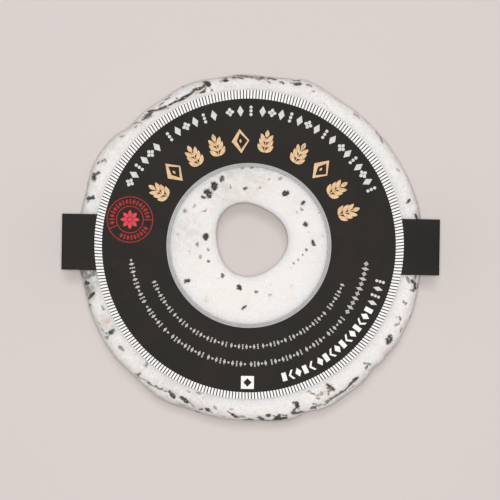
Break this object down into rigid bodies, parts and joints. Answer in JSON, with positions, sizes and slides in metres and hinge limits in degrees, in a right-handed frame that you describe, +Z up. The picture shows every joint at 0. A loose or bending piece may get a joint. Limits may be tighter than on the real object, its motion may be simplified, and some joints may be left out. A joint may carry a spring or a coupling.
{
  "type": "goat cheese wheel",
  "caption": "Ring-shaped goat's cheese with a white ash-flecked rind, a hole through its middle and a black ring-shaped card label whose two straps fold down.",
  "frame": {"origin": "under the middle of the object, on the surface that it rests on", "axes": "+Z up through the wheel; X runs along the label's two straps; +Y points to the middle of the label's band of large ornaments"},
  "size_m": [0.1028, 0.0952, 0.0231],
  "materials": {
    "rind": "soft white bloomy rind with grey and black flecks of ash",
    "label_card": "black printed card"
  },
  "bodies": {
    "root": {"cheese_wheel": "rind", "label": "label_card"}
  },
  "joints": []
}
